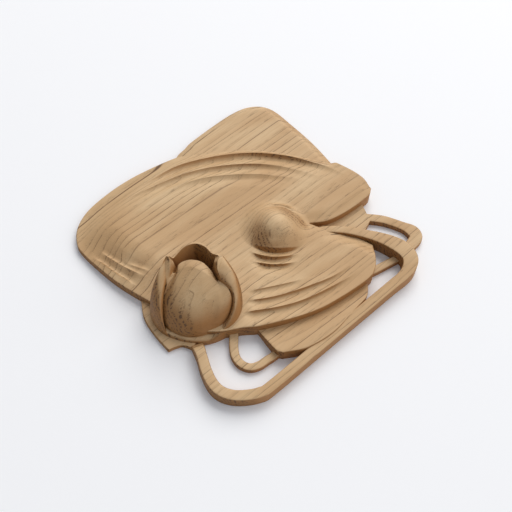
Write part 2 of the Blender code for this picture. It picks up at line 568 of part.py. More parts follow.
def build():
    for old in list(bpy.data.objects):
        bpy.data.objects.remove(old, do_unlink=True)
    rosette = new_collection("rosette_applique", False)
    layers = new_collection("layers", True)
    oak = oak_material()
    pad_rows = lap_rows() + boss_rows()
    body = relief_body("carved_rosette", PAD_OUTLINE, pad_height, pad_rows, FILL_STEP, rosette, oak)
    for layer in (
        relief_body("back_leaf", BACK_LEAF_OUTLINE, back_leaf_height, [], PLAIN_STEP, layers, oak),
        relief_body("lower_leaf", LOWER_LEAF_OUTLINE, lower_leaf_height, [], PLAIN_STEP, layers, oak),
        relief_body("leaf_tip", LEAF_TIP_OUTLINE, leaf_tip_height, [], PLAIN_STEP, layers, oak),
        stem_body("big_stem", BIG_STEM, layers, oak),
        stem_body("thin_stem", THIN_STEM, layers, oak),
        bud_body("bud", layers, oak),
    ):
        add_boolean(body, layer, "UNION")
    add_boolean(body, blank_body("blank", layers, oak), "INTERSECT")


build()
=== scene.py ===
"""The carved oak corner rosette as it looks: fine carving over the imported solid, oak, and a pale table.

One piece of oak, routed from a square blank and lying on its flat back. Plan sizes are millimetres on
the blank, measured from the corner between the two loops of stem, with X along the grain, and heights
are above the back. The finished mesh is in metres, centred on the blank, with the back at Z = 0.
"""

from __future__ import annotations

import logging
import math
from dataclasses import dataclass
from enum import Enum

import bpy
import numpy as np
from mathutils import Matrix, Vector
from mathutils.geometry import delaunay_2d_cdt


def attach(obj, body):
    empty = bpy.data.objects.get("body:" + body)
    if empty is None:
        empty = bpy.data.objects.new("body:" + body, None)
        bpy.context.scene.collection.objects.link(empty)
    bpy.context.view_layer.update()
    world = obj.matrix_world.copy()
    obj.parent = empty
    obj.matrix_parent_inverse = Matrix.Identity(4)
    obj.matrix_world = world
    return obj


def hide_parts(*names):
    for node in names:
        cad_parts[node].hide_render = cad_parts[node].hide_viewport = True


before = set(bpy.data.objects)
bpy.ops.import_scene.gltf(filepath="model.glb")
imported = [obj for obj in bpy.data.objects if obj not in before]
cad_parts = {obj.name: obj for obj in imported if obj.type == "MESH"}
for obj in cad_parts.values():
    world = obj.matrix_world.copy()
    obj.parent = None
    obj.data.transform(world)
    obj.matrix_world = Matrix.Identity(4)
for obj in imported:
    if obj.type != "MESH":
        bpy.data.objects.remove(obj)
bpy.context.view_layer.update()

Knots = list[tuple[float, ...]]
Stretches = list[Knots]
Mesh = tuple[np.ndarray, list[tuple[int, ...]]]

LOG = logging.getLogger("rosette")

MM = 0.001
PLAN_CENTRE = np.array([50.4, 50.0])
SIDE = 100.0

# Spacing of points on an outline, on a line that distances are measured from, and on a crest, in mm.
EDGE_STEP = 0.6
LINE_STEP = 1.2
CREST_STEP = 0.7
# How many points each span of a curve gets before it is read at even steps.
SPAN_SAMPLES = 24
# The least gap between a field's point and any other, as a share of the field's step.
CROWDED = 0.62
# Points closer than this are joined, in mm.
MERGE_DISTANCE = 1e-4
# About how many points are measured at a time, which saves memory.
CHUNK = 1500

# Each layer is cut straight down to the back, and its upper edge is eased: how far in and how far down,
# in mm. Rows of points follow the edge at these distances, less those that a corner brings nearer to the
# edge than this share of it.
EDGE_ROUND = 0.5
EDGE_DROP = 0.35
EDGE_ROWS = (0.12, 0.28, 0.5)
ROW_HELD = 0.85
# How far inside the edge the other rows of points end, in mm.
ROW_MARGIN = 1.2 * EDGE_ROUND
SHARP_ANGLE = math.radians(38)

# A Mix node's sockets for two colours and their mix, which its names don't tell apart.
MIX_UNDER, MIX_OVER, MIX_RESULT = 6, 7, 2

PAD_LEFT_AND_TOP = [(6, 54), (2.6, 68), (1.3, 84), (2.6, 90), (7, 95.2), (14.2, 98.7), (24, 99.99),
                    (34, 99.8), (44, 98.2), (54.2, 95.8)]
PAD_OVER_LEAF = [(54.2, 95.8), (67, 88), (79.5, 78.4), (89, 66.5), (96, 55.9)]
PAD_RIGHT_TIP = [(96, 55.9), (98.7, 46.6), (99.4, 41), (98.6, 35.6)]
PAD_NOTCH = [(98.6, 35.6), (95, 33.9), (84.8, 34.1), (76.3, 35.7), (69.9, 39.3)]
PAD_BESIDE_STEM = [(69.9, 39.3), (72.5, 33), (76, 28.4), (79.6, 23.3), (81.3, 18)]
PAD_LOWER_TIP = [(81.3, 18), (75.3, 11.4), (71.1, 8.8)]
PAD_LOWER_EDGE = [(71.1, 8.8), (66.8, 8.6), (57, 9.5), (47.3, 11.2), (37.5, 14.8), (27.7, 19.8), (22.8, 23.4),
                  (17, 27), (12.5, 31)]
PAD_UNDER_BUD = [(12.5, 31), (9.5, 42), (6, 54)]


def catmull_rom(knots: Knots | np.ndarray, samples: int) -> np.ndarray:
    """A smooth curve through the knots: the uniform Catmull-Rom cubic of each span.

    Args:
        knots: The knots, one row each. Columns past x and y ride along.
        samples: How many points each span gets.

    Returns:
        The points of the curve, with the last knot at its end.
    """
    knots = np.array(knots, dtype=float)
    padded = np.vstack([2 * knots[0] - knots[1], knots, 2 * knots[-1] - knots[-2]])
    before, start, end, after = padded[:-3, None], padded[1:-2, None], padded[2:-1, None], padded[3:, None]
    t = np.linspace(0, 1, samples, endpoint=False)[None, :, None]
    spans = 0.5 * (
        2 * start
        + (end - before) * t
        + (2 * before - 5 * start + 4 * end - after) * t ** 2
        + (3 * start - before - 3 * end + after) * t ** 3
    )
    return np.vstack([spans.reshape(-1, knots.shape[1]), knots[-1:]])


def smooth_line(knots: Knots, step: float) -> np.ndarray:
    """The curve through the knots, read at even steps along its plan.

    Args:
        knots: The knots, one row each.
        step: Distance between points, in millimetres.

    Returns:
        The points, one row each, with every column of the knots.
    """
    dense = catmull_rom(knots, SPAN_SAMPLES)
    lengths = np.concatenate([[0], np.cumsum(np.linalg.norm(np.diff(dense[:, :2], axis=0), axis=1))])
    count = max(2, round(lengths[-1] / step) + 1)
    stations = np.linspace(0, lengths[-1], count)
    return np.column_stack([np.interp(stations, lengths, column) for column in dense.T])


def left_normals(line: np.ndarray) -> np.ndarray:
    """Unit normals to the left of an open line: its direction turned a quarter turn."""
    ahead = np.gradient(line, axis=0)
    return np.column_stack([-ahead[:, 1], ahead[:, 0]]) / np.linalg.norm(ahead, axis=1)[:, None]


def smoothstep(value: np.ndarray) -> np.ndarray:
    """Eases from 0 to 1: three times the square less twice the cube of the clipped value."""
    t = np.clip(value, 0, 1)
    return t * t * (3 - 2 * t)


def nearest_on(line: np.ndarray, points: np.ndarray) -> tuple[np.ndarray, np.ndarray, np.ndarray]:
    """Where each point lies beside a line: its nearest foot among all the line's short runs.

    Args:
        line: The line's points, in order.
        points: The points to place.

    Returns:
        The distance of each point, its side (1 on the left hand, -1 on the right), and the share of
        the line's length at its foot.
    """
    start, along = line[:-1], np.diff(line, axis=0)
    length = np.linalg.norm(along, axis=1)
    run = np.concatenate([[0], np.cumsum(length)])
    found = []
    for block in np.array_split(points, max(1, len(points) // CHUNK)):
        offset = block[:, None, :] - start[None, :, :]
        share = np.clip(np.sum(offset * along, axis=2) / length ** 2, 0, 1)
        gap = np.linalg.norm(offset - share[:, :, None] * along, axis=2)
        best = np.argmin(gap, axis=1)
        rows = np.arange(len(block))
        cross = along[best, 0] * offset[rows, best, 1] - along[best, 1] * offset[rows, best, 0]
        way = (run[best] + share[rows, best] * length[best]) / run[-1]
        found.append(np.stack([gap[rows, best], np.where(cross >= 0, 1.0, -1.0), way]))
    distance, side, way = np.hstack(found)
    return distance, side, way


def to_metres(points: np.ndarray, heights: np.ndarray | float) -> np.ndarray:
    """Points of the blank as metres in the part's own frame, one row each."""
    plan = (points - PLAN_CENTRE) * MM
    return np.column_stack([plan, np.broadcast_to(heights, len(plan)) * MM])


@dataclass(frozen=True)
class Outline:
    """A flat outline: a ring of stretches, smooth inside a stretch, with a corner where two meet."""

    stretches: Stretches

    def ring(self, step: float) -> np.ndarray:
        """The outline as one closed ring of points, counter-clockwise by the sign of its area.

        Args:
            step: Distance between points, in millimetres.

        Returns:
            The points, without a repeated end.
        """
        ring = np.vstack([smooth_line(stretch, step)[:-1] for stretch in self.stretches])
        following = np.roll(ring, -1, axis=0)
        area = np.sum(ring[:, 0] * following[:, 1] - following[:, 0] * ring[:, 1])
        return ring if area > 0 else ring[::-1]

    def distance(self, points: np.ndarray) -> np.ndarray:
        """The distance of each point from the outline."""
        ring = self.ring(LINE_STEP)
        return nearest_on(np.vstack([ring, ring[:1]]), points)[0]

    def holds(self, points: np.ndarray) -> np.ndarray:
        """Which points are inside, by counting the crossings of a ray to the right.

        Args:
            points: The points to test.

        Returns:
            True for each point inside the ring.
        """
        ring = self.ring(EDGE_STEP)
        x0, y0 = ring[:, 0], ring[:, 1]
        x1, y1 = np.roll(x0, -1), np.roll(y0, -1)
        rise = np.where(y1 == y0, 1.0, y1 - y0)
        x, y = points[:, 0, None], points[:, 1, None]
        spans = (y0 > y) != (y1 > y)
        return np.count_nonzero(spans & (x < x0 + (y - y0) / rise * (x1 - x0)), axis=1) % 2 == 1

    def eased_edge(self, points: np.ndarray) -> np.ndarray:
        """The drop of the eased edge: a quarter of an ellipse over the edge's round."""
        share = np.clip(1 - self.distance(points) / EDGE_ROUND, 0, 1)
        return EDGE_DROP * (1 - np.sqrt(1 - share ** 2))

    def inset_row(self, distance: float) -> np.ndarray:
        """The ring moved inwards, without the points that would crowd a corner.

        Args:
            distance: How far each point moves along its normal, in millimetres.

        Returns:
            The points that are left.
        """
        ring = self.ring(EDGE_STEP)
        ahead = np.roll(ring, -1, axis=0) - np.roll(ring, 1, axis=0)
        normal = np.column_stack([-ahead[:, 1], ahead[:, 0]]) / np.linalg.norm(ahead, axis=1)[:, None]
        moved = ring + distance * normal
        distances, _, _ = nearest_on(np.vstack([ring, ring[:1]]), moved)
        return moved[self.holds(moved) & (distances > ROW_HELD * distance)]

    def field(self, step: float) -> np.ndarray:
        """A staggered field of points, in rows a little under a step apart.

        Args:
            step: Distance between neighbours, in millimetres.

        Returns:
            The points inside the ring.
        """
        ring = self.ring(EDGE_STEP)
        low, high = ring.min(axis=0), ring.max(axis=0)
        row_gap = step * math.sqrt(3) / 2
        columns, rows = np.ceil((high - low) / (step, row_gap))
        column, row = np.meshgrid(np.arange(columns), np.arange(rows))
        points = np.column_stack([(low[0] + (column + row % 2 / 2) * step).ravel(),
                                  (low[1] + row * row_gap).ravel()])
        return points[self.holds(points)]


def clear_of(points: np.ndarray, taken: np.ndarray, gap: float) -> np.ndarray:
    """Leaves out the points that are too close to others.

    Args:
        points: The points to choose from.
        taken: The points that they have to keep clear of.
        gap: The least distance, in millimetres.

    Returns:
        The points that keep the gap.
    """
    blocks = np.array_split(points, max(1, len(points) // CHUNK))
    nearest = [
        np.min(np.sum((block[:, None, :] - taken[None, :, :]) ** 2, axis=2), axis=1) for block in blocks
    ]
    return points[np.concatenate(nearest) > gap ** 2]


@dataclass(frozen=True)
class Relief:
    """A layer of the carving: an outline cut straight down, with its top at a height for each point."""

    outline: Outline
    step: float

    def height(self, points: np.ndarray) -> np.ndarray:
        """The height of the top above the back at each point, in millimetres."""
        raise NotImplementedError

    def rows(self) -> list[np.ndarray]:
        """Rows of points that the mesh keeps as edges."""
        return []

    def mesh(self) -> Mesh:
        """The layer as a closed mesh.

        Returns:
            The top over a staggered field of points, the walls, and a plain floor.
        """
        ring = self.outline.ring(EDGE_STEP)
        count = len(ring)
        edges = [(index, (index + 1) % count) for index in range(count)]
        points = ring
        for row in self.rows():
            usable = self.outline.holds(row) & (self.outline.distance(row) > ROW_MARGIN)
            number = len(points) + np.cumsum(usable) - 1
            joined = np.flatnonzero(usable[:-1] & usable[1:])
            edges += list(zip(number[joined].tolist(), number[joined + 1].tolist()))
            points = np.vstack([points, row[usable]])
        points = np.vstack([points, *(self.outline.inset_row(distance) for distance in EDGE_ROWS)])
        field = clear_of(self.outline.field(self.step), points, CROWDED * self.step)
        plan, top = triangles(np.vstack([points, field]), edges)
        floor_plan, floor = triangles(ring, edges[:count])
        corners = np.vstack([to_metres(plan, self.height(plan)), to_metres(floor_plan, 0.0)])
        sheet = len(plan)
        a = np.arange(count)
        b = (a + 1) % count
        walls = np.column_stack([b, a, sheet + a, sheet + b])
        faces = [*top.tolist(), *(sheet + floor[:, ::-1]).tolist(), *walls.tolist()]
        return corners, faces


def triangles(points: np.ndarray, edges: list[tuple[int, int]]) -> tuple[np.ndarray, np.ndarray]:
    """The triangles between points, inside the ring that their edges close.

    Args:
        points: The points, with those of the ring first.
        edges: Pairs of points that have to be joined.

    Returns:
        The points and the triangles, counter-clockwise, as arrays.
    """
    plan, _, faces, *_ = delaunay_2d_cdt([Vector(point) for point in points], edges, [], 1, MERGE_DISTANCE)
    return np.array([tuple(point) for point in plan]), np.array(faces)


@dataclass(frozen=True)
class Lap:
    """One carved row like the edge of a shell: a drop on the right of its crest, gentle elsewhere.

    The rise is the crest's height over the surface and the drop is the width of the cut beside it. Grow
    and fade are the shares of the length over which it comes and goes.
    """

    rise: float
    drop: float
    grow: float
    fade: float
    crest: Knots
    reach: float = 3.6
    row_shares: tuple[float, ...] = (-0.5, 0.0, 0.15, 0.35, 0.6, 1.0)

    def height(self, points: np.ndarray) -> np.ndarray:
        """What the lap adds: its rise on the crest, easing down to as much below over the drop.

        Behind the crest and past the drop the surface comes back along straight ramps over the
        reach, and the whole grows in and dies away over its shares of the length.

        Args:
            points: The points of the blank.

        Returns:
            The height to add at each point.
        """
        distance, side, way = nearest_on(smooth_line(self.crest, LINE_STEP), points)
        strength = smoothstep(way / self.grow) * smoothstep((1 - way) / self.fade)
        across = -distance * side
        behind = np.clip(1 + across / self.reach, 0, 1)
        cove = 2 * (1 - np.clip(across / self.drop, 0, 1)) ** 2 - 1
        trough = -np.clip(1 - (across - self.drop) / self.reach, 0, 1)
        profile = np.where(across < 0, behind, np.where(across < self.drop, cove, trough))
        return self.rise * strength * profile

    def rows(self) -> list[np.ndarray]:
        """The crest, the foot of the drop, and rows between and behind them."""
        line = smooth_line(self.crest, CREST_STEP)
        return [line - share * self.drop * left_normals(line) for share in self.row_shares]


# Laps along the pad's top, its left edge and its lower edge, then beside the boss.
PAD_LAPS = (
    Lap(0.9, 2.0, 0.3, 0.3, [(23, 91.8), (30, 93), (39.4, 92.6), (48, 91.8), (55.4, 89.5), (63.8, 85.4),
        (70.8, 80.9), (77.8, 74.7), (85.1, 65.7), (89.3, 59), (92.6, 53.1), (96.2, 43.4)]),
    Lap(0.8, 2.0, 0.3, 0.4, [(17.8, 91.5), (27.4, 91.4), (36, 89.5), (44.5, 87.4), (51.1, 85.3),
        (58.5, 82.1), (66.8, 76.7), (74.1, 70.6), (79.6, 64.4), (85.2, 56), (89, 48)]),
    Lap(0.6, 2.0, 0.35, 0.5, [(31, 85), (43.7, 83), (52.1, 80.2), (59.2, 76.2), (67.9, 69.6), (73.9, 63.8),
        (79.7, 56.8), (84.1, 49.5)]),
    Lap(0.5, 1.4, 0.3, 0.3, [(7.4, 59.4), (6, 63.7), (4.6, 70), (3.6, 76.4), (3, 82)]),
    Lap(0.45, 1.4, 0.3, 0.3, [(12, 59.5), (9.6, 65), (8, 70.4), (6.8, 76), (6, 82)]),
    Lap(0.3, 1.4, 0.35, 0.35, [(14.2, 60), (11.5, 65.7), (9.4, 70.8)]),
    Lap(0.5, 1.4, 0.2, 0.35, [(32.6, 32.6), (37.4, 29.9), (46.3, 25.3), (53, 22.6)]),
    Lap(0.7, 1.4, 0.12, 0.4, [(30.1, 30.4), (34.2, 27.3), (39.6, 24.2), (45.3, 21.8), (51.2, 19.6),
        (59.9, 17.1), (72.1, 16.3)]),
    Lap(0.75, 1.4, 0.1, 0.4, [(26.2, 27.6), (30.7, 24.7), (36.8, 20.9), (43.3, 17.9), (49.6, 16),
        (56.5, 14.6), (64, 13.4), (72, 13.3)]),
    Lap(1.0, 1.2, 0.3, 0.4, [(44.6, 44.5), (46.2, 40.2), (48.2, 37.2), (51, 34.8), (55, 32.8),
        (58.4, 31.9)]),
    Lap(0.85, 1.2, 0.3, 0.4, [(42.6, 41), (44.2, 38.2), (46.4, 35.4), (49.2, 33), (52.4, 31),
        (55.8, 29.7)]),
    Lap(0.6, 1.0, 0.3, 0.35, [(47.2, 45.7), (48.3, 42.8), (49.9, 40.3), (52.1, 38), (54.5, 36),
        (57.2, 34.7), (59.9, 34)], reach=2.8),
    Lap(0.3, 0.9, 0.3, 0.3, [(60, 53.9), (63.1, 53.5), (65.3, 52.2), (67.5, 49.7), (68.4, 46.5),
        (68.8, 44.4)], reach=1.6),
)


@dataclass(frozen=True)
class Boss:
    """The round boss beside the notch: steep at the front, easy elsewhere.

    Each row of its skirt is an angle in degrees, the boss's reach there, and the power of its cap.
    """

    centre: tuple[float, float] = (57.8, 45.2)
    rise: float = 6.6
    skirt: tuple[tuple[float, float, float], ...] = (
        (0, 13.6, 2.2), (45, 13.6, 2.2), (90, 14.5, 2.4), (130, 13.8, 2.6), (158, 12.8, 2.3),
        (178, 11.4, 1.5), (194, 10.5, 1.2), (210, 10.1, 1.0), (228, 10.0, 1.0), (246, 10.3, 1.0),
        (263, 11.0, 1.1), (282, 12.1, 1.35), (305, 13.4, 1.9), (330, 14, 2.2), (360, 13.6, 2.2),
    )
    shares: tuple[float, ...] = (0.85, 0.9, 0.935, 0.96, 0.975, 0.985, 0.993, 1.0, 1.02, 1.05)

    def reach_and_power(self, angle: np.ndarray) -> tuple[np.ndarray, np.ndarray]:
        """How far the boss reaches each way, and how steeply it falls.

        Args:
            angle: The angles about the centre, in radians.

        Returns:
            The reach and the power of the cap at each angle.
        """
        degrees, reach, power = np.array(self.skirt).T
        turned = np.degrees(angle) % 360
        return np.interp(turned, degrees, reach), np.interp(turned, degrees, power)

    def height(self, points: np.ndarray) -> np.ndarray:
        """A cap: the rise times one less the squared share of the reach, to its power.

        Args:
            points: The points of the blank.

        Returns:
            The height to add at each point.
        """
        offset = points - np.array(self.centre)
        reach, power = self.reach_and_power(np.arctan2(offset[:, 1], offset[:, 0]))
        share = np.clip(np.linalg.norm(offset, axis=1) / reach, 0, 1)
        return self.rise * (1 - share ** 2) ** power

    def rows(self) -> list[np.ndarray]:
        """Rings of points to keep as edges.

        Returns:
            A ring at each share of the reach, close together at the steep foot.
        """
        widest = max(reach for _, reach, _ in self.skirt)
        angle = np.linspace(0, 2 * math.pi, round(2 * math.pi * widest / CREST_STEP) + 1)
        reach, _ = self.reach_and_power(angle)
        direction = np.column_stack([np.cos(angle), np.sin(angle)])
        return [np.array(self.centre) + share * reach[:, None] * direction for share in self.shares]


@dataclass(frozen=True)
class Pad(Relief):
    """The shell-shaped pad: a rim that rises across the blank, a level middle, laps and the boss."""

    outline: Outline = Outline([PAD_LEFT_AND_TOP, PAD_OVER_LEAF, PAD_RIGHT_TIP, PAD_NOTCH, PAD_BESIDE_STEM,
                                PAD_LOWER_TIP, PAD_LOWER_EDGE, PAD_UNDER_BUD])
    step: float = 0.52
    rim_low: float = 2.2
    rim_high: float = 6.4
    rim_from: float = 12.0
    rim_over: float = 70.0
    middle: float = 6.6
    rim_reach: float = 16.0
    leaf_top: float = 3.7
    leaf_reach: float = 4.0
    notch_drop: float = 0.9
    notch_reach: float = 5.0
    stem_drop: float = 2.3
    stem_reach: float = 6.5
    stem_growth: float = 1.4
    boss: Boss = Boss()
    laps: tuple[Lap, ...] = PAD_LAPS

    def height(self, points: np.ndarray) -> np.ndarray:
        """The rim, eased up to the middle, with the laps and the boss on it.

        It is lowered along the notch and the stem, and settles to the back leaf's level where it
        lies over that leaf.

        Args:
            points: The points of the blank.

        Returns:
            The height of the top at each point.
        """
        across = (points[:, 0] + SIDE - points[:, 1]) / math.sqrt(2)
        climb = np.clip((across - self.rim_from) / self.rim_over, 0, 1)
        rim = self.rim_low + (self.rim_high - self.rim_low) * climb
        top = rim + (self.middle - rim) * smoothstep(self.outline.distance(points) / self.rim_reach)
        notch, _, _ = nearest_on(smooth_line(PAD_NOTCH, LINE_STEP), points)
        stem, _, along = nearest_on(smooth_line(PAD_BESIDE_STEM, LINE_STEP), points)
        leaf, _, _ = nearest_on(smooth_line(PAD_OVER_LEAF, LINE_STEP), points)
        top -= self.notch_drop * smoothstep(1 - notch / self.notch_reach)
        top -= self.stem_drop * smoothstep(1 - stem / self.stem_reach) * smoothstep(self.stem_growth * along)
        top += sum(lap.height(points) for lap in self.laps) + self.boss.height(points)
        top = self.leaf_top + (top - self.leaf_top) * smoothstep(leaf / self.leaf_reach)
        return top - self.outline.eased_edge(points) * (leaf > EDGE_ROUND)

    def rows(self) -> list[np.ndarray]:
        """The rows of every lap and of the boss."""
        return [row for lap in self.laps for row in lap.rows()] + self.boss.rows()


@dataclass(frozen=True)
class BackLeaf(Relief):
    """The leaf behind the pad: a bevel along its free edge, and lower ground where the notch shows it."""

    outline: Outline = Outline([
        [(50, 88), (54, 96.4), (60, 98.3), (66, 99.4), (85, 100), (94.5, 97.6), (99.4, 91.5), (100, 80),
         (99.2, 63.5), (95, 42), (93, 35.5), (91.6, 32.2), (89.2, 26.7)],
        [(89.2, 26.7), (86, 25.5), (83, 24.5)],
        [(83, 24.5), (77, 29), (69.5, 32.5)],
        [(69.5, 32.5), (62, 60), (50, 88)],
    ])
    step: float = 1.1
    top: float = 3.5
    notch_top: float = 2.7
    rise_from: float = 40.0
    rise_over: float = 25.0
    bevel_drop: float = 1.8
    bevel_width: float = 3.2

    def height(self, points: np.ndarray) -> np.ndarray:
        """Level ground that rises out of the notch, less a bevel towards the free edge."""
        rise = smoothstep((points[:, 1] - self.rise_from) / self.rise_over)
        bevel = np.clip(1 - self.outline.distance(points) / self.bevel_width, 0, 1)
        return self.notch_top + (self.top - self.notch_top) * rise - self.bevel_drop * bevel * rise


@dataclass(frozen=True)
class LowerLeaf(Relief):
    """The leaf below the pad, which thickens from its left corner towards the straight stem."""

    outline: Outline = Outline([
        [(27.4, 24), (27, 19.7), (26.2, 14), (25.9, 10), (26.9, 7.9)],
        [(26.9, 7.9), (32.9, 4.4), (37.8, 3), (42.7, 2.3), (47.9, 2.3), (57.8, 3.7), (63.7, 4.6), (67.2, 7),
         (72, 12)],
        [(72, 12), (50, 16), (27.4, 24)],
    ])
    step: float = 0.9
    thin: float = 2.4
    thick: float = 5.1
    rise_from: float = 31.0
    rise_over: float = 18.0
    skew: float = 0.25

    def height(self, points: np.ndarray) -> np.ndarray:
        """An eased ramp between the thin and the thick edge, with its own edge eased."""
        near = self.rise_from - points[:, 1] - self.skew * points[:, 0]
        rise = smoothstep(near / self.rise_over)
        return self.thin + (self.thick - self.thin) * rise - self.outline.eased_edge(points)


@dataclass(frozen=True)
class LeafTip(Relief):
    """The small leaf tip that shows under the bud."""

    outline: Outline = Outline([
        [(5, 56), (1.6, 50), (0.3, 43), (0, 35)],
        [(0, 35), (3, 34.2), (5, 33), (6.5, 30)],
        [(6.5, 30), (14, 34), (16, 44), (5, 56)],
    ])
    step: float = 0.9
    top: float = 1.8

    def height(self, points: np.ndarray) -> np.ndarray:
        """Level, with its edge eased."""
        return self.top - self.outline.eased_edge(points)


def tube_faces(rows: int, columns: int) -> list[tuple[int, ...]]:
    """The faces of a closed tube whose points come row by row.

    Args:
        rows: How many rows there are.
        columns: How many points each row has, as a closed ring.

    Returns:
        Quads between neighbouring rows, and a cap at each end.
    """
    row, column = np.meshgrid(np.arange(rows - 1), np.arange(columns), indexing="ij")
    a = (row * columns + column).ravel()
    b = (row * columns + (column + 1) % columns).ravel()
    quads = np.column_stack([a, b, b + columns, a + columns])
    first = tuple(range(columns))[::-1]
    last = tuple(range((rows - 1) * columns, rows * columns))
    return [*quads.tolist(), first, last]


@dataclass(frozen=True)
class Stem:
    """A stem: a flat-topped strip with eased edges, carried along its centre line.

    Each knot is x, y, the width and the height of the top.
    """

    knots: Knots
    step: float = 0.8
    ease: float = 0.6
    ease_drop: float = 0.42
    ease_points: int = 5

    def mesh(self) -> Mesh:
        """The section at every station: walls, and a quarter of an ellipse over each upper edge.

        Returns:
            The stem as a closed mesh.
        """
        line = smooth_line(self.knots, self.step)
        path, width, top = line[:, :2], line[:, 2], line[:, 3]
        turn = np.linspace(0, math.pi / 2, self.ease_points)
        inward = self.ease * (1 - np.cos(turn))
        down = self.ease_drop * (1 - np.sin(turn))
        side = np.concatenate([[-0.5], np.full(len(turn), -0.5), np.full(len(turn), 0.5), [0.5]])
        shift = np.concatenate([[0], inward, -inward[::-1], [0]])
        lower = np.concatenate([[0], down, down[::-1], [0]])
        across = side * width[:, None] + shift
        heights = top[:, None] - lower
        heights[:, [0, -1]] = 0.0
        points = path[:, None, :] + across[:, :, None] * left_normals(path)[:, None, :]
        corners = to_metres(points.reshape(-1, 2), heights.ravel())
        return corners, tube_faces(len(path), len(side))


BIG_STEM = Stem([
    (8.6, 30.4, 4.4, 1.6), (7.5, 28, 4, 4.3), (6.2, 25, 3.6, 4.8), (4, 20.3, 3.7, 4.6),
    (2.5, 15.5, 3.8, 4.6), (2.6, 11.5, 3.8, 4.6), (4.6, 7.8, 3.8, 4.6), (8, 4.8, 3.8, 4.6),
    (12, 2.6, 3.8, 4.6), (16.5, 1.9, 3.8, 4.6), (40, 1.9, 3.8, 4.6), (72, 1.9, 3.8, 4.8), (79, 1.8, 4, 5),
    (83.4, 2.6, 4.8, 5.3), (86.6, 5, 5.8, 5.5), (87.6, 8.6, 6.2, 5.6), (87, 12.6, 6, 5.6),
    (85, 17.6, 4.8, 5.6), (81.8, 23, 3.7, 5.6), (77.4, 29, 3.2, 5.6), (72.3, 33.6, 3, 5.6),
    (66.5, 36.6, 3, 5.2),
])
THIN_STEM = Stem([
    (24, 29, 3.2, 2), (20.6, 25.2, 3.2, 2), (17.3, 21.6, 3.1, 2), (15.3, 18.4, 3, 2), (14.9, 15.2, 2.9, 2),
    (16.2, 12.4, 2.8, 2), (18.8, 11, 2.8, 2), (22, 10.6, 2.8, 2), (30, 10.4, 2.8, 2), (64, 13, 2.9, 2),
    (75.5, 11, 2.9, 2), (81.2, 9.9, 2.9, 2), (87, 8.9, 2.9, 2), (93.2, 9.8, 4.1, 2), (97, 10.8, 4.8, 2.1),
    (98.1, 13.6, 5.2, 2.1), (97, 17.5, 3.8, 2.1), (93.7, 23.9, 3.6, 2.3), (89.6, 28.6, 3.4, 2.5),
    (86, 32.5, 3.4, 2.5),
])


@dataclass(frozen=True)
class Bend:
    """A quarter of a superellipse between two edges: its fullness, and how far it has turned over."""

    full: np.ndarray
    turn: np.ndarray

    def rings(self, start: np.ndarray, end: np.ndarray, count: int) -> np.ndarray:
        """Rings from the start to the end.

        Args:
            start: The points that the surface leaves straight up, one row each.
            end: The points that it reaches.
            count: How many steps it takes.

        Returns:
            The rings as an array of ring, column and coordinate, without the start itself.
        """
        theta = self.turn * np.linspace(0, 1, count + 1)[1:, None]
        power = 2 / self.full
        rise = (np.sin(theta) / np.sin(self.turn)) ** power
        inward = (1 - np.cos(theta) ** power) / (1 - np.cos(self.turn) ** power)
        return start + np.stack([inward, inward, rise], axis=2) * (end - start)


